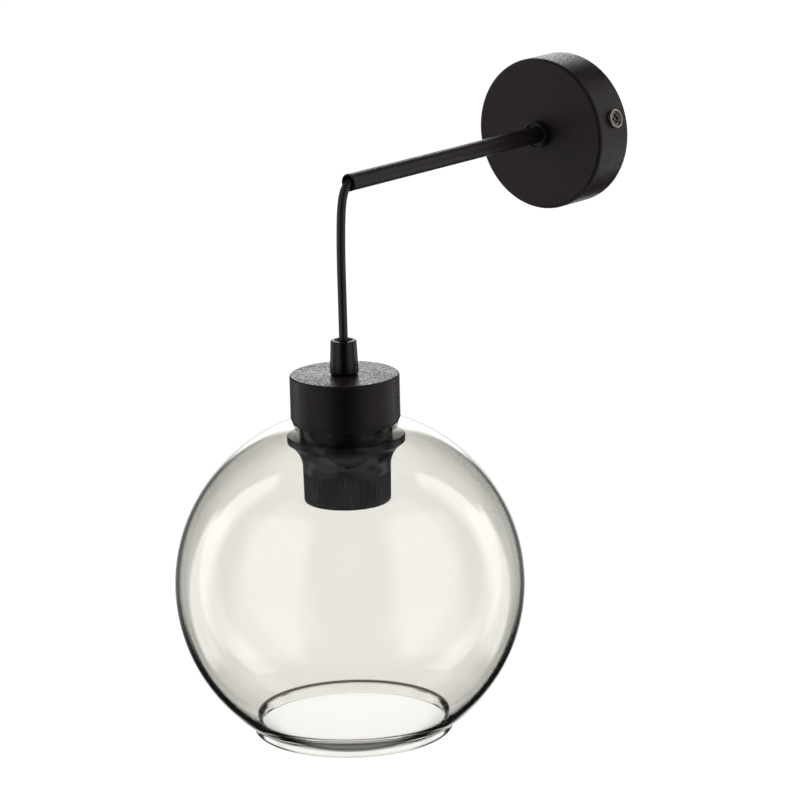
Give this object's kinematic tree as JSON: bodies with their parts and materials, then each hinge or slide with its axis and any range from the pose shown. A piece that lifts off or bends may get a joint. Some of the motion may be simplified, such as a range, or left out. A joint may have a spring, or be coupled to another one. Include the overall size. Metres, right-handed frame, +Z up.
{
  "type": "wall light",
  "caption": "Wall light with a round canopy, a straight tube arm and an open smoked glass globe that hangs from the arm on a short cord.",
  "frame": {"origin": "centre of the canopy's back plane, on the wall", "axes": "+Y into the wall, +Z up; the arm reaches out along -Y and the globe hangs along -Z"},
  "size_m": [0.2, 0.311, 0.362],
  "materials": {
    "powder_coat": "matt black powder coat with a fine texture",
    "black_plastic": "satin black moulded plastic",
    "ring_plastic": "satin black moulded plastic with fine ribs",
    "cord_jacket": "satin black PVC",
    "nickel": "bright nickel plate",
    "zinc_steel": "zinc plated steel",
    "brass": "plain rolled brass",
    "white_plastic": "off-white heat resisting plastic",
    "brown_insulation": "brown PVC",
    "blue_insulation": "blue PVC",
    "gasket_rubber": "black silicone",
    "smoked_glass": "clear blown glass with a light smoke tint"
  },
  "bodies": {
    "root": {"canopy": "powder_coat", "arm_tube": "powder_coat", "arm_collar": "black_plastic", "cord_clamp": "black_plastic", "cord_in_arm": "cord_jacket", "canopy_screws": "nickel", "wall_bracket": "zinc_steel", "arm_nut": "zinc_steel", "arm_washer": "zinc_steel", "cord_clamp_screws": "zinc_steel", "terminal_screws": "zinc_steel", "terminal_block_screw": "zinc_steel", "earth_screw": "zinc_steel", "earth_washer": "zinc_steel", "terminal_barrels": "brass", "terminal_block": "white_plastic", "brown_core_wall": "brown_insulation", "blue_core_wall": "blue_insulation"},
    "cord": {"pendant_cord": "cord_jacket"},
    "glass": {"glass_globe": "smoked_glass", "lower_gasket": "gasket_rubber"},
    "ring": {"shade_ring": "ring_plastic"},
    "contact": {"centre_contact": "brass"},
    "lamp": {"cord_in_lamp": "cord_jacket", "cord_grip": "black_plastic", "grip_screw": "black_plastic", "grip_jaws": "black_plastic", "nipple": "zinc_steel", "cap_washer": "zinc_steel", "lamp_cap": "powder_coat", "lampholder_dome": "black_plastic", "lampholder_skirt": "black_plastic", "lampholder_insert": "white_plastic", "live_terminal": "brass", "neutral_terminal": "brass", "contact_screws": "zinc_steel", "side_contact": "brass", "brown_core_lamp": "brown_insulation", "blue_core_lamp": "blue_insulation", "upper_gasket": "gasket_rubber"}
  },
  "joints": [
    {"name": "side_swing", "type": "hinge", "parent": "root", "child": "cord", "pos_m": [0, -0.197, 0], "axis": [0, 1, 0], "range_deg": [-40, 40]},
    {"name": "fore_aft_swing", "type": "hinge", "parent": "cord", "child": "lamp", "pos_m": [0, -0.211, -0.012], "axis": [1, 0, 0], "range_deg": [-40, 28], "deforming": ["pendant_cord"]},
    {"name": "glass_release", "type": "slide", "parent": "lamp", "child": "glass", "axis": [0, 0, -1], "range_m": [0, 0.009]},
    {"name": "ring_turn", "type": "hinge", "parent": "glass", "child": "ring", "pos_m": [0, -0.211, -0.161], "axis": [0, 0, -1], "range_deg": [0, 1085]},
    {"name": "contact_flex", "type": "hinge", "parent": "lamp", "child": "contact", "pos_m": [0.00705, -0.211, -0.1437], "axis": [0, 1, 0], "range_deg": [0, 12], "stiffness_Nm_per_rad": 0.02}
  ],
  "couplings": [
    {"joint": "ring_turn", "follows": "glass_release", "rad_per_m": 2094.4}
  ]
}
